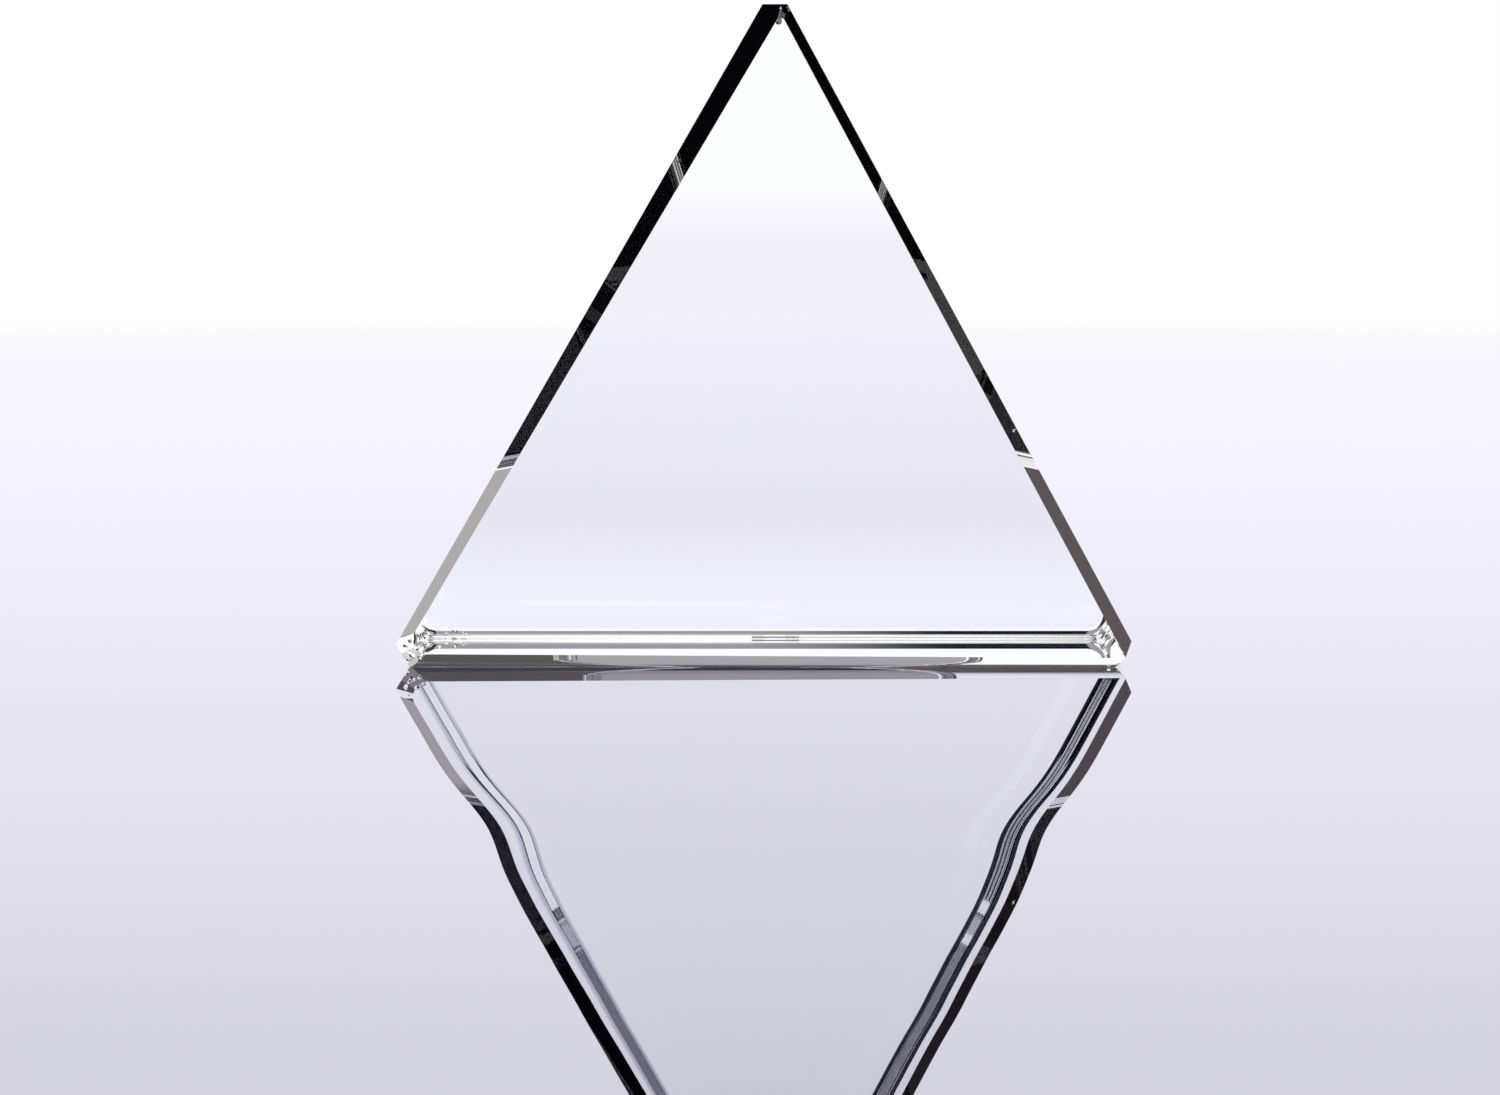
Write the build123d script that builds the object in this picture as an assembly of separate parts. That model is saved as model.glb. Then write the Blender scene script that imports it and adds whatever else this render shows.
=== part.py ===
"""Clear glass triangular prism, one solid block, lying on one of its long faces.

The block is a bar of triangular section, ground flat on five faces and polished. Its three
long edges are ground off to narrow flats. The edges of the front end face have flat bevels
ground by hand, so each bevel widens or narrows along its edge. The edges and corners of
the back end face were rolled against the wheel instead, which leaves a round made of many
small strokes.

Millimetres and degrees. X runs across the base, Y along the bar and Z up. The origin is on
the base, at the middle of the block's width and length.
"""

from build123d import *
import os
from math import atan2, cos, radians, sin, tan

# The bar. The width is that of the base between the two sharp lines in which its planes
# would meet the sloping faces, before the long edges are ground off.
BASE_WIDTH = 50.0
LEFT_BASE_ANGLE = 60.2
RIGHT_BASE_ANGLE = 61.6
BAR_LENGTH = 60.0

# Flats on the three long edges. Each cut is measured from the sharp line along the face
# that it takes away. The right-hand edge was ground in two strokes that meet in a knee,
# which lies this far in from the sharp line and above the base.
APEX_FLAT_CUT = 1.69
LEFT_FLAT_SLOPE_CUT = 1.66
LEFT_FLAT_BASE_CUT = 1.70
RIGHT_FLAT_SLOPE_CUT = 1.90
RIGHT_FLAT_BASE_CUT = 1.96
RIGHT_KNEE_IN = 1.34
RIGHT_KNEE_UP = 0.62

# Bevels round the front end face: the strip each takes from the end face at the two ends of
# its edge, and its tilt away from the end face.
FRONT_LEFT_TOP = 1.34
FRONT_LEFT_FOOT = 0.64
FRONT_LEFT_TILT = 54.0
FRONT_RIGHT_TOP = 0.66
FRONT_RIGHT_FOOT = 0.84
FRONT_RIGHT_TILT = 57.0
FRONT_BASE_LEFT = 0.88
FRONT_BASE_RIGHT = 0.64
FRONT_BASE_TILT = 54.0

# The one plain facet: a shallow touch of the wheel on the front face under the apex flat.
FRONT_APEX_FACET = 0.95
FRONT_APEX_TILT = 22.0

# The front end's one rolled corner: its radius on the end face and the tilt of its strokes.
FRONT_LEFT_CORNER = 1.0
FRONT_CORNER_TILT = 45.0

# The round along the edges of the back end face, and the radius that each of its rolled
# corners leaves on the end face, inside that round.
BACK_ROUND = 0.75
BACK_LEFT_CORNER = 0.75
BACK_RIGHT_CORNER = 1.0
BACK_APEX_CORNER = 0.4

FRONT, BACK = -1, 1


def section():
    """The corners of the sharp triangle in X and Z, as left, right and apex."""
    left_tan = tan(radians(LEFT_BASE_ANGLE))
    right_tan = tan(radians(RIGHT_BASE_ANGLE))
    apex_height = BASE_WIDTH * left_tan * right_tan / (left_tan + right_tan)
    apex_in = apex_height / left_tan
    # The block's widest points are where the sloping faces meet the lower flats.
    widest_left = LEFT_FLAT_SLOPE_CUT * cos(radians(LEFT_BASE_ANGLE))
    widest_right = BASE_WIDTH - RIGHT_FLAT_SLOPE_CUT * cos(radians(RIGHT_BASE_ANGLE))
    middle = (widest_left + widest_right) / 2
    left = Vector(-middle, 0, 0)
    right = Vector(BASE_WIDTH - middle, 0, 0)
    apex = Vector(apex_in - middle, 0, apex_height)
    return left, right, apex


LEFT, RIGHT, APEX = section()
UP_LEFT = (APEX - LEFT).normalized()
UP_RIGHT = (APEX - RIGHT).normalized()
ALONG = Vector(0, 1, 0)

# The lines in which the long flats meet the faces beside them, as points of the section.
LEFT_SHOULDER = LEFT + UP_LEFT * LEFT_FLAT_SLOPE_CUT
LEFT_FOOT = LEFT + Vector(LEFT_FLAT_BASE_CUT, 0, 0)
RIGHT_SHOULDER = RIGHT + UP_RIGHT * RIGHT_FLAT_SLOPE_CUT
RIGHT_KNEE = RIGHT + Vector(-RIGHT_KNEE_IN, 0, RIGHT_KNEE_UP)
RIGHT_FOOT = RIGHT - Vector(RIGHT_FLAT_BASE_CUT, 0, 0)
APEX_LEFT = APEX - UP_LEFT * APEX_FLAT_CUT
APEX_RIGHT = APEX - UP_RIGHT * (APEX_FLAT_CUT * UP_LEFT.Z / UP_RIGHT.Z)


def ground_bar():
    """The bar with its long edges ground off, drawn as one outline and pushed along Y."""
    outline = Polyline(
        LEFT_FOOT,
        LEFT_SHOULDER,
        APEX_LEFT,
        APEX_RIGHT,
        RIGHT_SHOULDER,
        RIGHT_KNEE,
        RIGHT_FOOT,
        close=True,
    )
    return extrude(make_face(outline), amount=BAR_LENGTH / 2, dir=(0, 1, 0), both=True)


def grind(block, point, normal):
    """Takes away all of the block that lies beyond the plane at this point."""
    return split(block, bisect_by=Plane(origin=point, z_dir=normal), keep=Keep.BOTTOM)


class Bevel:
    """A bevel along one edge of an end face, from start to finish.

    Edges run anticlockwise as seen from the front. The strip taken from the end face is
    start_width wide at the start and finish_width at the finish, and the tilt is the angle
    between the bevel and the end face.
    """

    def __init__(self, end, start, finish, start_width, finish_width, tilt):
        self.end = end
        self.level = ALONG * (end * BAR_LENGTH / 2)
        inward = outward_of(start, finish) * -1
        self.start = start + inward * start_width
        self.finish = finish + inward * finish_width
        self.outward = outward_of(self.start, self.finish)
        self.tilt = tilt
        # The tilt turns about the line that the bevel leaves on the end face, half way
        # along, where the strip's width and the bevel's depth both have their mean.
        self.middle = (self.start + self.finish) * 0.5

    def cut(self, block):
        return grind(
            block, self.middle + self.level, tilted(self.end, self.outward, self.tilt)
        )


def outward_of(start, finish):
    """The unit vector out of the section, square to a line that runs anticlockwise."""
    run = (finish - start).normalized()
    return Vector(run.Z, 0, -run.X)


def tilted(end, outward, tilt):
    """The outward normal of a plane at this tilt from the end face, facing outward."""
    return ALONG * (end * cos(radians(tilt))) + outward * sin(radians(tilt))


def roll(block, end, middle, outward, round_radius, tilts):
    """Grinds one stroke at each tilt, all touching one round about this middle point."""
    for tilt in tilts:
        normal = tilted(end, outward, tilt)
        block = grind(block, middle + normal * round_radius, normal)
    return block


def roll_corner(block, end, first, second, radius, round_radius, tilts, strokes=6):
    """Rolls the corner of an end face in equal turns from its first edge to its second.

    Each edge is given as its outward direction and the reach of the round's middle line
    along that direction. The middle line turns the corner on a circle of this radius.
    """
    (first_out, first_reach), (second_out, second_reach) = first, second
    cross = first_out.X * second_out.Z - first_out.Z * second_out.X
    first_in = first_reach - radius
    second_in = second_reach - radius
    centre = Vector(
        (first_in * second_out.Z - second_in * first_out.Z) / cross,
        0,
        (second_in * first_out.X - first_in * second_out.X) / cross,
    )
    level = ALONG * (end * (BAR_LENGTH / 2 - round_radius))
    facing = atan2(first_out.Z, first_out.X)
    turn = atan2(cross, first_out.dot(second_out))
    for stroke in range(strokes):
        angle = facing + turn * (stroke + 1) / (strokes + 1)
        outward = Vector(cos(angle), 0, sin(angle))
        middle = centre + outward * radius + level
        block = roll(block, end, middle, outward, round_radius, tilts)
    return block


def front_end(block):
    """Grinds the bevels, the facet and the one rolled corner of the front end face."""
    right = Bevel(
        FRONT, RIGHT_SHOULDER, APEX_RIGHT, FRONT_RIGHT_FOOT, FRONT_RIGHT_TOP, FRONT_RIGHT_TILT
    )
    left = Bevel(
        FRONT, APEX_LEFT, LEFT_SHOULDER, FRONT_LEFT_TOP, FRONT_LEFT_FOOT, FRONT_LEFT_TILT
    )
    base = Bevel(
        FRONT, LEFT_FOOT, RIGHT_FOOT, FRONT_BASE_LEFT, FRONT_BASE_RIGHT, FRONT_BASE_TILT
    )
    apex = Bevel(
        FRONT, APEX_RIGHT, APEX_LEFT, FRONT_APEX_FACET, FRONT_APEX_FACET, FRONT_APEX_TILT
    )
    for bevel in (right, left, base, apex):
        block = bevel.cut(block)
    edges = [(bevel.outward, bevel.start.dot(bevel.outward)) for bevel in (left, base)]
    return roll_corner(block, FRONT, *edges, FRONT_LEFT_CORNER, 0, [FRONT_CORNER_TILT])


def back_end(block):
    """Rolls the edges and the corners of the back end face to one round."""
    tilts = [15 * step for step in range(1, 6)]
    edges = []
    for start, finish in (
        (RIGHT_SHOULDER, APEX_RIGHT),
        (APEX_LEFT, LEFT_SHOULDER),
        (LEFT_FOOT, RIGHT_FOOT),
    ):
        outward = outward_of(start, finish)
        reach = start.dot(outward) - BACK_ROUND
        middle = outward * reach + ALONG * (BAR_LENGTH / 2 - BACK_ROUND)
        block = roll(block, BACK, middle, outward, BACK_ROUND, tilts)
        edges.append((outward, reach))
    right, left, base = edges
    for first, second, radius in (
        (right, left, BACK_APEX_CORNER),
        (left, base, BACK_LEFT_CORNER),
        (base, right, BACK_RIGHT_CORNER),
    ):
        block = roll_corner(block, BACK, first, second, radius, BACK_ROUND, tilts)
    return block


os.makedirs("parts", exist_ok=True)
glass_prism = back_end(front_end(ground_bar()))
export_step(glass_prism, "parts/glass_prism.step")
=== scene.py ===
"""A clear glass triangular prism on a pale, mirror-like table, as a Blender add-on file.

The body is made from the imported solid: its planes are kept, and the edges get the small
rounds and chips of hand-ground glass. Lengths are in metres, Z is up, and the prism stands
on its base face with the end that faces the viewer towards -Y.
"""

import math

import bmesh
import bpy
from bpy.props import FloatProperty, FloatVectorProperty, IntProperty, PointerProperty
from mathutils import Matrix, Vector, noise
from mathutils.bvhtree import BVHTree


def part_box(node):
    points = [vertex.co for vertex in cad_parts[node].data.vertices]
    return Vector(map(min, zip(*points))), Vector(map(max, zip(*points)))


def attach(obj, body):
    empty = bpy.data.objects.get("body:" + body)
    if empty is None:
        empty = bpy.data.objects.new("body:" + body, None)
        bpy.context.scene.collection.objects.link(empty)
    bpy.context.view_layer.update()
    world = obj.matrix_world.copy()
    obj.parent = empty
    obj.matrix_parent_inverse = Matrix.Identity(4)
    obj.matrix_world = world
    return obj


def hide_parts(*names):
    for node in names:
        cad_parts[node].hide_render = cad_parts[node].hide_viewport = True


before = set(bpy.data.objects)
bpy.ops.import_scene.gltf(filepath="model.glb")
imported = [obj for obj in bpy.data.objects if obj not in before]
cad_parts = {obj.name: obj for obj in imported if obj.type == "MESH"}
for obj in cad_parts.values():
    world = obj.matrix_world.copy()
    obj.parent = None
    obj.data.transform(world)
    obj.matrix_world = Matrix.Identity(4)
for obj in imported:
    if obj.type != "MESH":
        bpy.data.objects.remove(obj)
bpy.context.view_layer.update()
NODE = "glass_prism"
LOW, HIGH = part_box(NODE)

bl_info = {
    "name": "Glass Triangular Prism",
    "version": (1, 0, 0),
    "blender": (4, 5, 0),
    "location": "View3D > Sidebar > Prism",
    "description": "Builds a hand-ground glass prism with its table and light",
    "category": "Add Mesh",
}

PICTURE_WIDTH = 1500
PICTURE_HEIGHT = 1095

GLASS_COLOR = (0.98, 0.985, 0.99, 1.0)
# The table's mirror at its far rim and near the viewer.
MIRROR_FAR = (0.869, 0.858, 0.952, 1.0)
MIRROR_NEAR = (0.596, 0.585, 0.672, 1.0)
SHADED_TABLE = (0.22, 0.215, 0.25, 1.0)
RIDGE_LIGHT = (1.06, 1.06, 1.08, 1.0)
BLACK = (0.0, 0.0, 0.0, 1.0)
# The room as glass sees it, below and above the far rim of the table.
ROOM_LOW = (0.965, 0.95, 1.03, 1.0)
ROOM_HIGH = (1.1, 1.1, 1.1, 1.0)
WHITE = (1.0, 1.0, 1.0, 1.0)

# Soft limits of the painted places on the table, from where the paint is nothing to where it is
# whole: the dark strip behind the prism, a painted shade, and the lit patch under its ridge, a
# painted glow. Like the footprint's painted shade and the painted glow behind the prism, these
# are aids fitted to the view from the front, with no real cause.
DARK_ASIDE = (0.14, 0.10)
DARK_FAR = (0.26, 0.22)
RIDGE_ASIDE = (0.010, 0.008)
RIDGE_NEAR = (-0.008, -0.004)
# The glow behind the prism: from where to where it grows, along Y, and to what.
GLOW_PLACE = (0.27, 0.06)
GLOW_GAIN = 1.15
# Along Y, where the darker side of the painted dark strip swaps from the right to the left.
CROSSING = 0.12

# Looks at the table as facing, which is 0 straight down and 1 for a grazing look: where the
# mirror has its far and its near colour, and where it takes over from the matt sheet.
MIRROR_LOOK = (0.976, 0.917)
MIRROR_RISE = (0.72, 0.90)
LEAST_MIRROR = 0.08
# The same on the dark strip, on the side that stays dark and on the pale one.
DARK_RISE = (0.925, 0.95)
PALE_RISE = (0.76, 0.82)
# Where the dark strip and the footprint's shade set in, and where the lit patch goes out.
DARK_SLANT = (0.05, 0.15)
SHADE_SLANT = (0.18, 0.28)
RIDGE_STEEP = (0.062, 0.052)

# Steepest slope of the table's faint unevenness, twice over, and how fine it is.
UNEVENNESS = 0.0016
UNEVEN_SCALE = 14.0
# The table lies this far under the prism, so that the two share no plane.
TABLE_GAP = 0.00002

# How often a ray may turn in all, and in or on the glass.
MOST_BOUNCES = 32
CLEAR_BOUNCES = 24


# ---------------------------------------------------------------- settings


class PrismGlassSettings(bpy.types.PropertyGroup):
    """Sizes and optical values of the glass."""

    edge_round: FloatProperty(
        name="Edge round",
        description="Width of the fine round left where two ground faces meet",
        default=0.00008,
        min=0.0,
        unit="LENGTH",
        precision=6,
    )
    edge_segments: IntProperty(
        name="Edge segments",
        description="Facets across each fine round",
        default=3,
        min=1,
        max=6,
    )
    round_above: FloatProperty(
        name="Round above",
        description="Edges that turn by less than this stay as the wheel left them",
        default=math.radians(20.0),
        subtype="ANGLE",
    )
    back_round: FloatProperty(
        name="Back round",
        description="Radius to which the edges of the back end are rolled",
        default=0.00075,
        unit="LENGTH",
        precision=6,
    )
    back_strokes: IntProperty(
        name="Back strokes",
        description="Strokes of the wheel across the back round",
        default=11,
        min=5,
        max=17,
    )
    bevel_swell: FloatProperty(
        name="Bevel swell",
        description="Slope by which the front bevel of the base swells at its top edge",
        default=0.079,
        min=0.0,
        max=0.3,
    )
    ior: FloatProperty(
        name="Index of refraction",
        description="Index of borosilicate crown glass for yellow light",
        default=1.5168,
        min=1.0,
        max=2.0,
    )


class PrismStageSettings(bpy.types.PropertyGroup):
    """Sizes and colour of the table, and the wave across it."""

    table_radius: FloatProperty(
        name="Table radius",
        description="Distance from the prism at which the table fades into the backdrop",
        default=0.95,
        unit="LENGTH",
    )
    table_color: FloatVectorProperty(
        name="Table colour",
        description="Colour of the table seen from above",
        subtype="COLOR",
        default=(0.66, 0.65, 0.74),
    )
    wave_slope: FloatProperty(
        name="Wave slope",
        description="Steepest slope of the wave in the table before the prism",
        default=0.0042,
    )
    wave_place: FloatProperty(
        name="Wave place",
        description="Where the wave crosses the table, along Y",
        default=-0.193,
        unit="LENGTH",
    )
    wave_width: FloatProperty(
        name="Wave width",
        description="Distance over which the wave's slope dies away",
        default=0.034,
        unit="LENGTH",
    )


class PrismCameraSettings(bpy.types.PropertyGroup):
    """Where the viewer stands, from the perspective of the prism's own edges."""

    distance: FloatProperty(
        name="Distance",
        description="From the front end face to the lens",
        default=0.839,
        unit="LENGTH",
    )
    height: FloatProperty(
        name="Height",
        description="Height of the lens above the table, level with the apex",
        default=0.0424,
        unit="LENGTH",
    )
    focal_pixels: FloatProperty(
        name="Focal length in pixels",
        description="Focal length over the width of one picture element",
        default=12820.0,
    )
    vanishing_x: FloatProperty(
        name="Vanishing point X",
        description="Where the bar's long edges would meet, across the picture",
        default=775.0,
    )
    vanishing_y: FloatProperty(
        name="Vanishing point Y",
        description="Where the bar's long edges would meet, down the picture",
        default=20.0,
    )
    offset: FloatProperty(
        name="Sideways offset",
        description="How far the lens stands to the right of the prism's middle",
        default=0.00074,
        unit="LENGTH",
    )


# The back end's rolled corners: the two long faces that meet there, and the radius of the
# corner on the end face, inside the round.
BACK_CORNERS = (
    ("right", "left", 0.0004),
    ("left", "base", 0.00075),
    ("base", "right", 0.0010),
)

# Small chips: the end they are on (-1 front, 1 back), how far right and how high they lie,
# the radius of the lump that went and how deep it bit, in millimetres.
CHIPS = (
    (-1, -23.85, 0.95, 0.30, 0.12),
    (-1, -23.50, 1.35, 0.32, 0.12),
    (-1, -23.10, 0.75, 0.38, 0.16),
    (-1, -22.75, 1.25, 0.30, 0.10),
    (-1, -23.50, 0.45, 0.34, 0.14),
    (-1, -22.50, 0.55, 0.30, 0.10),
    (-1, -23.20, 1.75, 0.28, 0.08),
    (-1, -22.20, 1.00, 0.26, 0.08),
    (-1, 22.60, 0.12, 0.20, 0.07),
    (-1, 23.30, 0.20, 0.18, 0.06),
    (-1, 16.40, 15.50, 0.25, 0.08),
    (-1, -5.50, 33.20, 0.20, 0.08),
    (-1, 1.00, 42.30, 0.30, 0.10),
    (-1, 1.30, 42.75, 0.30, 0.10),
    (-1, 1.60, 43.15, 0.25, 0.09),
    (-1, 1.15, 43.15, 0.25, 0.09),
    (1, -21.80, 0.35, 0.26, 0.08),
    (1, -21.20, 0.50, 0.24, 0.08),
    (1, -20.60, 0.35, 0.22, 0.07),
    (1, -22.30, 0.60, 0.22, 0.07),
)

# Turns of the wheel round each of the back end's corners.
CORNER_TURNS = 13
# How far from a corner the round of the back end runs straight.
TIE = 0.0004
# Shares of the way down the front bevel of the base at which its belly is shaped.
BEVEL_STEPS = (0.2, 0.4, 0.55, 0.68, 0.78, 0.86, 0.93)
# Where one chip's line of sight starts, along Y.
CHIP_SIGHT = 0.05

# How near to a plane a point counts as lying on it.
ON_PLANE = 1e-8
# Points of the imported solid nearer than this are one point.
SAME_POINT = 1e-6
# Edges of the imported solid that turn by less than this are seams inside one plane.
SAME_PLANE = math.radians(0.05)
# Edges shorter than this are dropped before the edges are rounded.
NO_LENGTH = 1e-7
# A face is on the back round when the Y of its normal lies between these, and no larger than
# the limit; it is on the front base bevel's belly when it is no smaller than the other.
ROUND_Y = (0.02, 0.9999)
ROUND_LIMIT = 2e-5
BELLY_LIMIT = 1e-6


# ---------------------------------------------------------------- node helpers


def new_tree(owner):
    """The owner's node tree, emptied."""
    owner.use_nodes = True
    owner.node_tree.nodes.clear()
    return owner.node_tree


def fill(tree, socket, value):
    """Links or sets one input, as the value is a socket or a plain value."""
    if isinstance(value, bpy.types.NodeSocket):
        tree.links.new(value, socket)
    else:
        socket.default_value = value


def add(tree, kind, inputs=None, **settings):
    """A node of this kind, with its settings and its inputs given as values or sockets."""
    node = tree.nodes.new(kind)
    for name, value in settings.items():
        setattr(node, name, value)
    for name, value in (inputs or {}).items():
        fill(tree, node.inputs[name], value)
    return node


def math_node(tree, operation, *values):
    """The output of a Math node with these inputs."""
    node = add(tree, "ShaderNodeMath", operation=operation)
    for socket, value in zip(node.inputs, values):
        fill(tree, socket, value)
    return node.outputs[0]


def ramp(tree, value, start, finish, low=0.0, high=1.0):
    """A smooth step of value from low at start to high at finish."""
    node = add(
        tree,
        "ShaderNodeMapRange",
        {"Value": value, "From Min": start, "From Max": finish, "To Min": low, "To Max": high},
        interpolation_type="SMOOTHSTEP",
    )
    return node.outputs[0]


def mix_value(tree, factor, first, second):
    """The value that runs from first to second with factor."""
    node = add(tree, "ShaderNodeMix", {0: factor, 2: first, 3: second}, data_type="FLOAT")
    return node.outputs[0]


def mix_color(tree, factor, first, second):
    """The colour that runs from first to second with factor."""
    node = add(tree, "ShaderNodeMix", data_type="RGBA")
    for number, value in ((0, factor), (6, first), (7, second)):
        fill(tree, node.inputs[number], value)
    return node.outputs[2]


# ---------------------------------------------------------------- materials


def polished_glass(settings):
    """Clear polished optical glass."""
    material = bpy.data.materials.new("polished_optical_glass")
    tree = new_tree(material)
    shader = add(
        tree,
        "ShaderNodeBsdfPrincipled",
        {
            "Base Color": GLASS_COLOR,
            "Roughness": 0.0,
            "IOR": settings.ior,
            "Transmission Weight": 1.0,
        },
    )
    out = add(tree, "ShaderNodeOutputMaterial")
    tree.links.new(shader.outputs[0], out.inputs["Surface"])
    return material


def wavy_normal(tree, place, stage):
    """The table's normal: one broad wave across the view and a faint unevenness."""
    axes = add(tree, "ShaderNodeSeparateXYZ", {0: place})
    off = math_node(tree, "SUBTRACT", axes.outputs["Y"], stage.wave_place)
    off = math_node(tree, "DIVIDE", off, stage.wave_width)
    square = math_node(tree, "MULTIPLY", off, off)
    bell = math_node(tree, "EXPONENT", math_node(tree, "MULTIPLY", square, -1.0))
    rough = add(
        tree,
        "ShaderNodeTexNoise",
        {"Vector": place, "Scale": UNEVEN_SCALE, "Detail": 2.0, "Roughness": 0.45},
    )
    drift = add(tree, "ShaderNodeSeparateColor", {0: rough.outputs["Color"]})
    sideways = math_node(tree, "SUBTRACT", drift.outputs[0], 0.5)
    sideways = math_node(tree, "MULTIPLY", sideways, UNEVENNESS)
    ahead = math_node(tree, "SUBTRACT", drift.outputs[1], 0.5)
    ahead = math_node(tree, "MULTIPLY", ahead, UNEVENNESS)
    ahead = math_node(tree, "ADD", ahead, math_node(tree, "MULTIPLY", bell, -stage.wave_slope))
    slope = add(tree, "ShaderNodeCombineXYZ", {"X": sideways, "Y": ahead, "Z": 1.0})
    unit = add(tree, "ShaderNodeVectorMath", operation="NORMALIZE")
    tree.links.new(slope.outputs[0], unit.inputs[0])
    return unit.outputs["Vector"]


def painted_shade_behind(tree, place):
    """A strip behind the prism, dark to rays through the glass: a painted shade and a fitted aid.
    """
    axes = add(tree, "ShaderNodeSeparateXYZ", {0: place})
    across = ramp(tree, math_node(tree, "ABSOLUTE", axes.outputs["X"]), *DARK_ASIDE)
    near = ramp(tree, axes.outputs["Y"], HIGH.y - 0.0010, HIGH.y - 0.0008)
    far = ramp(tree, axes.outputs["Y"], *DARK_FAR)
    return math_node(tree, "MULTIPLY", across, math_node(tree, "MULTIPLY", near, far))


def footprint_shade(tree, place):
    """The footprint of the prism, shaded for rays through the glass: a fitted aid."""
    axes = add(tree, "ShaderNodeSeparateXYZ", {0: place})
    aside = math_node(tree, "ABSOLUTE", axes.outputs["X"])
    ahead = math_node(tree, "ABSOLUTE", axes.outputs["Y"])
    across = ramp(tree, aside, HIGH.x * 1.02, HIGH.x * 0.96)
    along = ramp(tree, ahead, HIGH.y * 1.02, HIGH.y * 0.98)
    return math_node(tree, "MULTIPLY", across, along)


def ridge_light(tree, place, facing):
    """A patch under the ridge that shines to steep rays through the glass: a fitted aid."""
    axes = add(tree, "ShaderNodeSeparateXYZ", {0: place})
    across = ramp(tree, math_node(tree, "ABSOLUTE", axes.outputs["X"]), *RIDGE_ASIDE)
    near = ramp(tree, axes.outputs["Y"], *RIDGE_NEAR)
    far = ramp(tree, axes.outputs["Y"], HIGH.y, HIGH.y - 0.001)
    steep = ramp(tree, facing, *RIDGE_STEEP)
    patch = math_node(tree, "MULTIPLY", across, math_node(tree, "MULTIPLY", near, far))
    return math_node(tree, "MULTIPLY", patch, steep)


def table_material(stage):
    """A glossy sheet that mirrors at a low angle, looks pale from above and fades at its rim."""
    material = bpy.data.materials.new("glossy_table")
    tree = new_tree(material)
    place = add(tree, "ShaderNodeTexCoord").outputs["Object"]
    facing = add(tree, "ShaderNodeLayerWeight", {"Blend": 0.5}).outputs["Facing"]
    path = add(tree, "ShaderNodeLightPath")
    through = path.outputs["Is Transmission Ray"]
    # The mirror image dims as the view steepens; facing is 1 at a grazing view.
    far, near = MIRROR_LOOK
    dimming = add(
        tree, "ShaderNodeMapRange", {"Value": facing, "From Min": far, "From Max": near}
    )
    mirror_color = mix_color(tree, dimming.outputs[0], MIRROR_FAR, MIRROR_NEAR)
    # A fitted aid too: rays through the glass see the strip behind the prism brighter.
    axes = add(tree, "ShaderNodeSeparateXYZ", {0: place})
    glow = ramp(tree, axes.outputs["Y"], *GLOW_PLACE, 1.0, GLOW_GAIN)
    glow = math_node(tree, "MULTIPLY", through, glow)
    glow = math_node(tree, "MAXIMUM", glow, 1.0)
    brighter = add(tree, "ShaderNodeVectorMath", {0: mirror_color}, operation="SCALE")
    tree.links.new(glow, brighter.inputs["Scale"])
    mirror_color = brighter.outputs["Vector"]
    mirror = add(
        tree,
        "ShaderNodeBsdfGlossy",
        {"Color": mirror_color, "Roughness": 0.0, "Normal": wavy_normal(tree, place, stage)},
    )
    # Painted shade: rays through the glass see the strip behind the prism black at a slant.
    dark = math_node(
        tree,
        "MULTIPLY",
        math_node(tree, "MULTIPLY", through, painted_shade_behind(tree, place)),
        ramp(tree, facing, *DARK_SLANT),
    )
    # The painted shade on the ground under the prism shows at a slant; straight down it stays pale.
    shaded = math_node(tree, "MULTIPLY", footprint_shade(tree, place), ramp(tree, facing, *SHADE_SLANT))
    under = mix_color(
        tree,
        math_node(tree, "MULTIPLY", through, shaded),
        (*stage.table_color, 1.0),
        SHADED_TABLE,
    )
    under = mix_color(tree, dark, under, BLACK)
    matt = add(tree, "ShaderNodeBsdfDiffuse", {"Color": under})
    # Painted light: the patch under the ridge glows to steep rays through glass, with no lamp.
    lit = add(tree, "ShaderNodeEmission", {"Color": RIDGE_LIGHT, "Strength": 1.0})
    ridge_glow = math_node(tree, "MULTIPLY", through, ridge_light(tree, place, facing))
    matt = add(tree, "ShaderNodeMixShader", {0: ridge_glow, 1: matt.outputs[0], 2: lit.outputs[0]})
    mirror_share = ramp(tree, facing, *MIRROR_RISE, LEAST_MIRROR, 1.0)
    # On the dark strip, a painted shade, the mirror sets in only at more grazing looks where X and
    # Y less CROSSING differ in sign, so that part stays darker.
    beyond = math_node(tree, "SUBTRACT", axes.outputs["Y"], CROSSING)
    side = math_node(tree, "MULTIPLY", axes.outputs["X"], beyond)
    low_share = mix_value(
        tree,
        ramp(tree, side, -0.00002, 0.00002),
        ramp(tree, facing, *DARK_RISE),
        ramp(tree, facing, *PALE_RISE),
    )
    share = mix_value(tree, dark, mirror_share, low_share)
    surface = add(
        tree, "ShaderNodeMixShader", {0: share, 1: matt.outputs[0], 2: mirror.outputs[0]}
    )
    radius = add(tree, "ShaderNodeVectorMath", operation="LENGTH")
    tree.links.new(place, radius.inputs[0])
    rim = ramp(tree, radius.outputs["Value"], stage.table_radius * 0.90, stage.table_radius)
    clear = add(tree, "ShaderNodeBsdfTransparent")
    whole = add(tree, "ShaderNodeMixShader", {0: rim, 1: surface.outputs[0], 2: clear.outputs[0]})
    out = add(tree, "ShaderNodeOutputMaterial")
    tree.links.new(whole.outputs[0], out.inputs["Surface"])
    return material


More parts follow.
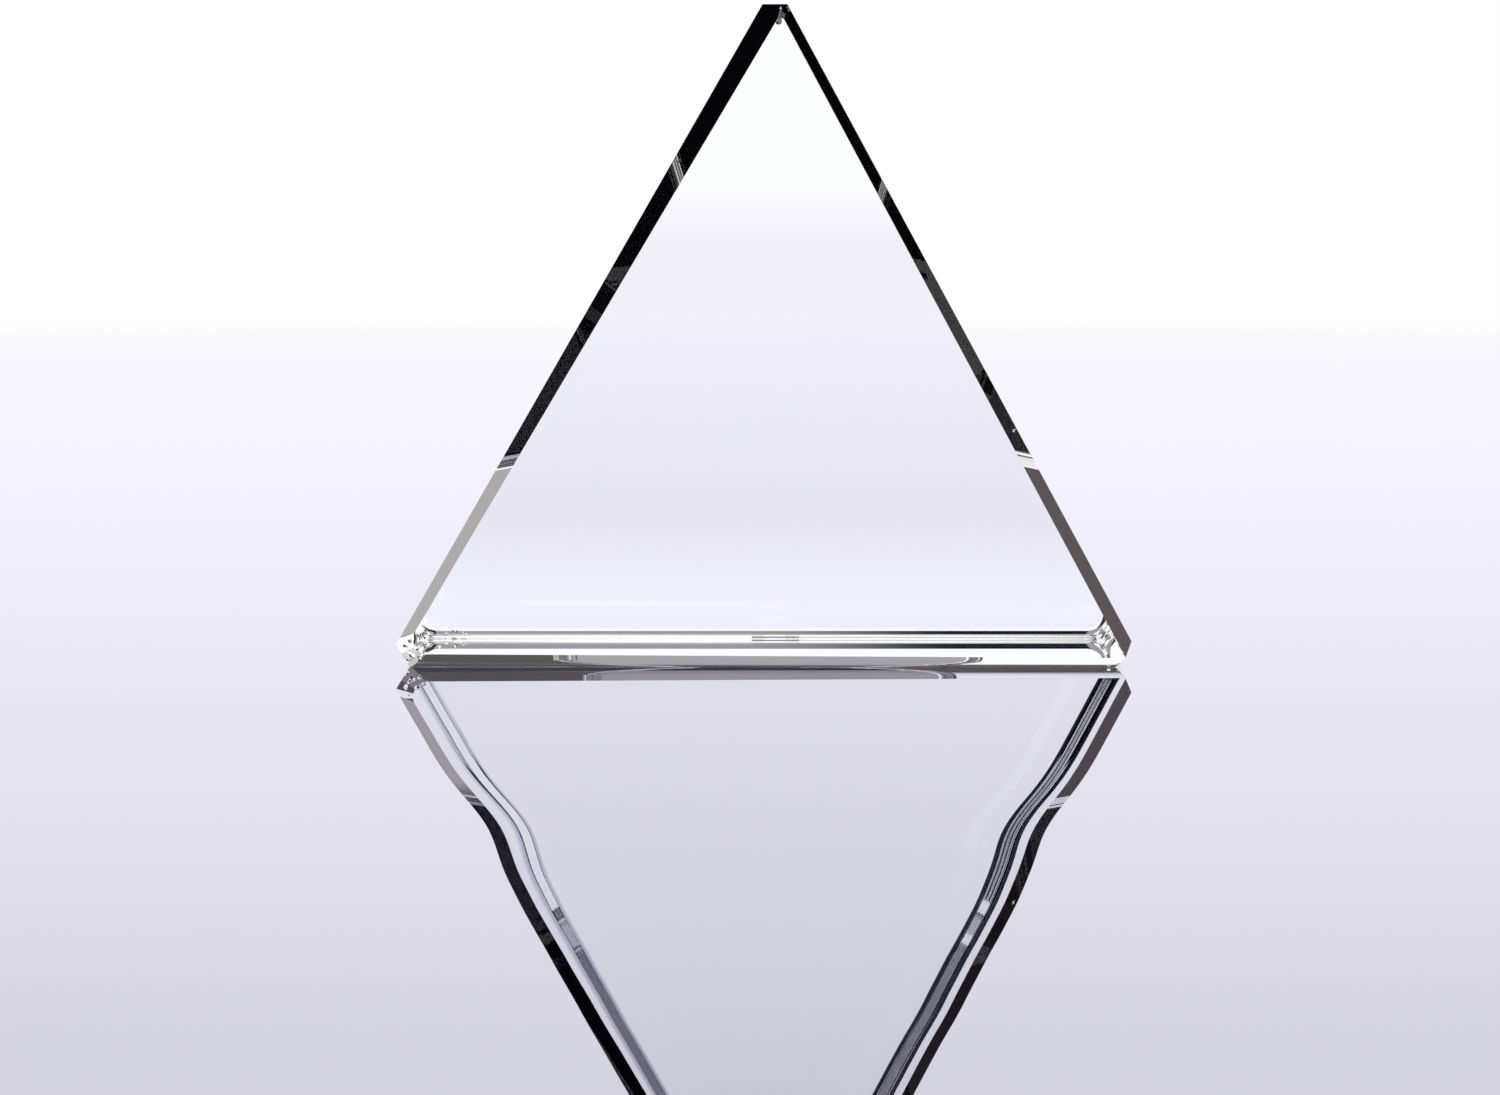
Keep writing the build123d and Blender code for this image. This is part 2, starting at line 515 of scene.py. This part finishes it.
# What the glass and the table mirror round the room, as soft cards: name, bearing of the
# middle and half width, elevation of the middle and half height, edge softness, in degrees,
# and colour. Bearing 0 is straight behind the prism and 90 to its right. The cards were fitted
# to the view from the front, and are not a real room.
CARDS = (
    ("ceiling", 0, 200, 57, 8, 4, (0.08, 0.08, 0.08)),
    ("behind_left", -7.5, 9, 13, 6.6, 0.5, (0.34, 0.33, 0.37)),
    ("behind_low", 0, 15, 25, 6, 1.5, (0.40, 0.39, 0.40)),
    ("behind_mid", 0, 15, 32, 3, 1.2, (0.40, 0.39, 0.38)),
    ("behind_upper", 0, 15, 37, 3.2, 1.2, (0.31, 0.30, 0.30)),
    ("behind_high", 0, 16, 46.5, 7.5, 1.2, (0.01, 0.01, 0.012)),
    ("behind_line", 2.4, 2.05, 16, 9.6, 0.5, (0.006, 0.007, 0.022)),
    ("behind_foot", -12, 7.2, 2, 5, 0.6, (0.02, 0.02, 0.03)),
    ("behind_right", 12.2, 7.8, 12.3, 4.2, 0.8, (0.015, 0.012, 0.012)),
    ("behind_turn", 19, 10, 22, 4.2, 1, (0.26, 0.25, 0.24)),
    ("right_low", 35, 8, 3.5, 3, 1, (0.03, 0.03, 0.03)),
    ("right_grey", 38, 9.5, 17, 10, 0.8, (0.45, 0.44, 0.43)),
    ("right_brown", 30.5, 7.5, 14.2, 2.9, 0.6, (0.085, 0.078, 0.07)),
    ("right_black", 42, 8.5, 19.5, 4, 1.0, (0.028, 0.026, 0.025)),
    ("right_glow", 29.2, 0.5, 13.88, 0.42, 0.15, (0.50, 0.48, 0.46)),
    ("right_dark", 64, 12, 26, 10, 3, (0.01, 0.01, 0.01)),
    ("left_wall", -40, 10.5, 16, 10, 1.2, (0.095, 0.075, 0.07)),
    ("left_far", -68, 12, 32, 13, 3, (0.01, 0.01, 0.025)),
    ("left_back", -147, 13, 33, 9, 2, (0.03, 0.03, 0.04)),
    ("left_low", -128, 33, 11.5, 13, 1, (0.015, 0.035, 0.06)),
    ("camera_low", 180, 31, 11, 13, 1.5, (0.01, 0.01, 0.01)),
    ("camera_high", 180, 10.5, 32, 18, 1.5, (0.01, 0.01, 0.01)),
)


def studio_world():
    """White for the viewer, even for matt surfaces, and a room of soft cards for glass."""
    world = bpy.data.worlds.new("studio")
    bpy.context.scene.world = world
    tree = new_tree(world)
    direction = add(tree, "ShaderNodeTexCoord").outputs["Generated"]
    axes = add(tree, "ShaderNodeSeparateXYZ", {0: direction})
    bearing = math_node(
        tree,
        "MULTIPLY",
        math_node(tree, "ARCTAN2", axes.outputs["X"], axes.outputs["Y"]),
        180 / math.pi,
    )
    rise = math_node(tree, "MULTIPLY", math_node(tree, "ARCSINE", axes.outputs["Z"]), 180 / math.pi)
    # Beyond the far edge of the table the backdrop turns faintly lilac.
    color = mix_color(tree, ramp(tree, rise, -1.05, -0.68), ROOM_LOW, ROOM_HIGH)
    for name, az, half_width, el, half_height, soft, tone in CARDS:
        across = math_node(tree, "ABSOLUTE", math_node(tree, "SUBTRACT", bearing, az))
        # The short way round the circle.
        across = math_node(tree, "ABSOLUTE", math_node(tree, "SUBTRACT", across, 180.0))
        across = math_node(tree, "SUBTRACT", 180.0, across)
        upward = math_node(tree, "ABSOLUTE", math_node(tree, "SUBTRACT", rise, el))
        inside = math_node(
            tree,
            "MULTIPLY",
            ramp(tree, across, half_width + soft, half_width - soft),
            ramp(tree, upward, half_height + soft, half_height - soft),
        )
        color = mix_color(tree, inside, color, (*tone, 1.0))
    path = add(tree, "ShaderNodeLightPath")
    room = add(tree, "ShaderNodeBackground", {"Color": color, "Strength": 1.0})
    plain = add(tree, "ShaderNodeBackground", {"Color": WHITE, "Strength": 1.0})
    seen = math_node(
        tree,
        "MAXIMUM",
        path.outputs["Is Glossy Ray"],
        path.outputs["Is Transmission Ray"],
    )
    whole = add(tree, "ShaderNodeMixShader", {0: seen, 1: plain.outputs[0], 2: room.outputs[0]})
    out = add(tree, "ShaderNodeOutputWorld")
    tree.links.new(whole.outputs[0], out.inputs["Surface"])
    return world


# ---------------------------------------------------------------- pieces


def link(obj):
    bpy.context.scene.collection.objects.link(obj)
    return obj


def cut(bm, point, normal):
    """Takes away all of the body beyond the plane at this point, and closes the cut."""
    found = bmesh.ops.bisect_plane(
        bm,
        geom=bm.verts[:] + bm.edges[:] + bm.faces[:],
        dist=ON_PLANE,
        plane_co=point,
        plane_no=normal,
        clear_outer=True,
    )
    edges = [item for item in found["geom_cut"] if isinstance(item, bmesh.types.BMEdge)]
    edges = [edge for edge in edges if edge.is_boundary]
    if edges:
        bmesh.ops.contextual_create(bm, geom=edges)


def long_faces(bm):
    """The outward direction and the reach of the base, left and right faces."""
    sides = [face for face in bm.faces if abs(face.normal.y) < 0.01]
    largest = sorted(sides, key=lambda face: face.calc_area())[-3:]
    found = {}
    for face in largest:
        name = "base" if face.normal.z < -0.5 else ("left" if face.normal.x < 0 else "right")
        found[name] = (face.normal.copy(), face.normal.dot(face.calc_center_median()))
    return found


def roll_back_end(bm, settings):
    """Refines the round of the back end, so that it bends light as a smooth round does."""
    radius = settings.back_round
    level = HIGH.y - radius
    count = settings.back_strokes
    tilts = [math.pi / 2 * step / (count + 1) for step in range(1, count + 1)]
    sides = long_faces(bm)
    middles = []
    for outward, reach in sides.values():
        middles.append((outward, outward * (reach - radius)))
    for first, second, corner in BACK_CORNERS:
        (out_a, reach_a), (out_b, reach_b) = sides[first], sides[second]
        cross = out_a.x * out_b.z - out_a.z * out_b.x
        in_a = reach_a - radius - corner
        in_b = reach_b - radius - corner
        centre = Vector((in_a * out_b.z - in_b * out_a.z, 0.0, in_b * out_a.x - in_a * out_b.x))
        centre /= cross
        facing = math.atan2(out_a.z, out_a.x)
        turn = math.atan2(cross, out_a.dot(out_b))
        for step in range(1, CORNER_TURNS + 1):
            angle = facing + turn * step / (CORNER_TURNS + 1)
            outward = Vector((math.cos(angle), 0.0, math.sin(angle)))
            middles.append((outward, centre + outward * corner))
    for outward, middle in middles:
        for tilt in tilts:
            normal = outward * math.sin(tilt) + Vector((0.0, math.cos(tilt), 0.0))
            cut(bm, middle + Vector((0.0, level, 0.0)) + normal * radius, normal)


def bisect_faces(bm, faces, point, normal):
    """Parts these faces along the plane at this point, and returns what lies on the cut."""
    edges = dict.fromkeys(edge for face in faces for edge in face.edges)
    verts = dict.fromkeys(vert for edge in edges for vert in edge.verts)
    found = bmesh.ops.bisect_plane(
        bm,
        geom=[*verts, *edges, *faces],
        dist=ON_PLANE,
        plane_co=point,
        plane_no=normal,
    )
    return found["geom_cut"]


def round_strips(bm, outward, along):
    """The long strips of the back round beside the long face that looks outward."""
    return [
        face
        for face in bm.faces
        if ROUND_Y[0] < face.normal.y < ROUND_Y[1]
        and face.normal.dot(outward) > 0.01
        and abs(face.normal.dot(along)) < 0.005
        and max(edge.calc_length() for edge in face.edges) > 0.01
    ]


def tie_off_round(bm):
    """Parts the round's long strips near their ends, so that the corners do not bend them."""
    for outward, _ in long_faces(bm).values():
        along = outward.cross(Vector((0.0, 1.0, 0.0)))
        strips = round_strips(bm, outward, along)
        places = [vert.co.dot(along) for face in strips for vert in face.verts]
        for place in (min(places) + TIE, max(places) - TIE):
            bisect_faces(bm, round_strips(bm, outward, along), along * place, along)


def swell_base_bevel(bm, swell):
    """Gives the front bevel of the base the slight belly of hand work, steeper at its foot."""
    bevel = max(
        (face for face in bm.faces if face.normal.z < -0.5 and face.normal.y < -0.3),
        key=lambda face: face.calc_area(),
    )
    normal = bevel.normal.copy()
    middle = bevel.calc_center_median()
    rims = sorted(bevel.edges, key=lambda edge: edge.calc_length())[-2:]
    rims.sort(key=lambda edge: -(edge.verts[0].co.z + edge.verts[1].co.z))
    top, foot = [sorted((v.co.copy() for v in edge.verts), key=lambda co: co.x) for edge in rims]
    for part in BEVEL_STEPS:
        near = top[0].lerp(foot[0], part)
        far = top[1].lerp(foot[1], part)
        pieces = [
            face
            for face in bm.faces
            if face.normal.dot(normal) > 0.97
            and (face.calc_center_median() - middle).length < 0.02
        ]
        out = swell * part * (1 - part**3)
        for item in bisect_faces(bm, pieces, near, (far - near).cross(normal)):
            if isinstance(item, bmesh.types.BMVert):
                end = 0 if item.co.x < 0 else 1
                chord = (near, far)[end]
                item.co = chord + normal * out * (top[end] - foot[end]).length


def chip_lump(place, radius, seed):
    """A small lumpy ball, the shape of the piece that broke away."""
    bm = bmesh.new()
    bmesh.ops.create_icosphere(bm, subdivisions=2, radius=radius)
    for vert in bm.verts:
        where = vert.co / radius + Vector((seed * 7.3, 0.0, 0.0))
        bump = 0.45 * noise.noise(where * 1.3) + 0.30 * noise.noise(where * 3.1)
        vert.co = vert.co * (1.0 + bump) + place
    mesh = bpy.data.meshes.new("lump")
    bm.to_mesh(mesh)
    bm.free()
    return link(bpy.data.objects.new("lump", mesh))


def chip(body, skin):
    """Breaks the small chips out of the body, each where its line of sight meets the skin."""
    for count, (end, right, height, radius, depth) in enumerate(CHIPS):
        start = Vector((right / 1000, end * CHIP_SIGHT, height / 1000))
        place, normal, _, _ = skin.ray_cast(start, Vector((0.0, -end, 0.0)))
        if place is None:
            continue
        lump = chip_lump(place + normal * (radius - depth) / 1000, radius / 1000, count)
        modifier = body.modifiers.new("chip", "BOOLEAN")
        modifier.operation = "DIFFERENCE"
        modifier.solver = "EXACT"
        modifier.object = lump
        graph = bpy.context.evaluated_depsgraph_get()
        mesh = bpy.data.meshes.new_from_object(body.evaluated_get(graph))
        body.modifiers.clear()
        worn, lump_mesh = body.data, lump.data
        body.data = mesh
        bpy.data.objects.remove(lump)
        bpy.data.meshes.remove(lump_mesh)
        bpy.data.meshes.remove(worn)


class PRISM_OT_glass_body(bpy.types.Operator):
    """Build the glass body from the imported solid, with fine rounds on its edges"""

    bl_idname = "prism.glass_body"
    bl_label = "Glass body"

    def execute(self, context):
        settings = context.scene.prism_glass
        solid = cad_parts[NODE]
        bm = bmesh.new()
        bm.from_mesh(solid.data)
        bmesh.ops.remove_doubles(bm, verts=bm.verts, dist=SAME_POINT)
        bmesh.ops.dissolve_limit(bm, angle_limit=SAME_PLANE, verts=bm.verts, edges=bm.edges)
        roll_back_end(bm, settings)
        tie_off_round(bm)
        swell_base_bevel(bm, settings.bevel_swell)
        bmesh.ops.dissolve_degenerate(bm, dist=NO_LENGTH, edges=bm.edges[:])
        bmesh.ops.bevel(
            bm,
            geom=[edge for edge in bm.edges if edge.calc_face_angle(0.0) > settings.round_above],
            offset=settings.edge_round,
            offset_type="OFFSET",
            affect="EDGES",
            segments=settings.edge_segments,
            profile=0.5,
            material=-1,
            clamp_overlap=True,
        )
        # The rolled end and the swollen bevel are round to the eye; the other planes stay flat.
        for face in bm.faces:
            normal, area = face.normal, face.calc_area()
            rolled = ROUND_Y[0] < normal.y < ROUND_Y[1] and area < ROUND_LIMIT
            swollen = normal.y < -0.2 and normal.z < -0.6 and area > BELLY_LIMIT
            face.smooth = rolled or swollen
        skin = BVHTree.FromBMesh(bm)
        mesh = bpy.data.meshes.new("prism_body")
        mesh.materials.append(polished_glass(settings))
        bm.to_mesh(mesh)
        bm.free()
        body = link(bpy.data.objects.new("prism_body", mesh))
        chip(body, skin)
        body.data.name = "prism_body"
        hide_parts(NODE)
        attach(body, "root")
        return {"FINISHED"}


class PRISM_OT_stage(bpy.types.Operator):
    """Lay the table and hang the backdrop and the light"""

    bl_idname = "prism.stage"
    bl_label = "Stage"

    def execute(self, context):
        stage = context.scene.prism_stage
        bm = bmesh.new()
        bmesh.ops.create_circle(
            bm, cap_ends=True, segments=96, radius=stage.table_radius * 1.02
        )
        mesh = bpy.data.meshes.new("table")
        bm.to_mesh(mesh)
        bm.free()
        table = link(bpy.data.objects.new("table", mesh))
        mesh.materials.append(table_material(stage))
        table.location.z = LOW.z - TABLE_GAP
        studio_world()
        return {"FINISHED"}


class PRISM_OT_camera(bpy.types.Operator):
    """Stand the camera where the bar's edges converge as they should"""

    bl_idname = "prism.camera"
    bl_label = "Camera"

    def execute(self, context):
        view = context.scene.prism_camera
        data = bpy.data.cameras.new("camera")
        data.sensor_fit = "HORIZONTAL"
        data.sensor_width = 36.0
        data.lens = view.focal_pixels / PICTURE_WIDTH * data.sensor_width
        data.clip_start = 0.01
        data.clip_end = 20.0
        camera = link(bpy.data.objects.new("camera", data))
        down = math.atan((PICTURE_HEIGHT / 2 - view.vanishing_y) / view.focal_pixels)
        left = math.atan((view.vanishing_x - PICTURE_WIDTH / 2) / view.focal_pixels)
        camera.location = (view.offset, LOW.y - view.distance, view.height)
        camera.rotation_euler = (math.pi / 2 - down, 0.0, left)
        context.scene.camera = camera
        return {"FINISHED"}


class PRISM_PT_panel(bpy.types.Panel):
    """Lists the prism's pieces and settings"""

    bl_idname = "PRISM_PT_panel"
    bl_label = "Prism"
    bl_space_type = "VIEW_3D"
    bl_region_type = "UI"
    bl_category = "Prism"

    def draw(self, context):
        for group in (
            context.scene.prism_glass,
            context.scene.prism_stage,
            context.scene.prism_camera,
        ):
            box = self.layout.box()
            for name in group.__annotations__:
                box.prop(group, name)
        for operator in OPERATORS:
            self.layout.operator(operator.bl_idname)


SETTINGS = (
    ("prism_glass", PrismGlassSettings),
    ("prism_stage", PrismStageSettings),
    ("prism_camera", PrismCameraSettings),
)
OPERATORS = (PRISM_OT_camera, PRISM_OT_glass_body, PRISM_OT_stage)


def register():
    for name, group in SETTINGS:
        bpy.utils.register_class(group)
        setattr(bpy.types.Scene, name, PointerProperty(type=group))
    for cls in (*OPERATORS, PRISM_PT_panel):
        bpy.utils.register_class(cls)


def unregister():
    for cls in reversed((*OPERATORS, PRISM_PT_panel)):
        bpy.utils.unregister_class(cls)
    for name, group in reversed(SETTINGS):
        delattr(bpy.types.Scene, name)
        bpy.utils.unregister_class(group)


def main():
    register()
    bpy.ops.prism.camera()
    bpy.ops.prism.glass_body()
    bpy.ops.prism.stage()
    bpy.context.scene.view_settings.view_transform = "Standard"
    cycles = bpy.context.scene.cycles
    cycles.max_bounces = MOST_BOUNCES
    cycles.glossy_bounces = CLEAR_BOUNCES
    cycles.transmission_bounces = CLEAR_BOUNCES


if __name__ == "__main__":
    main()
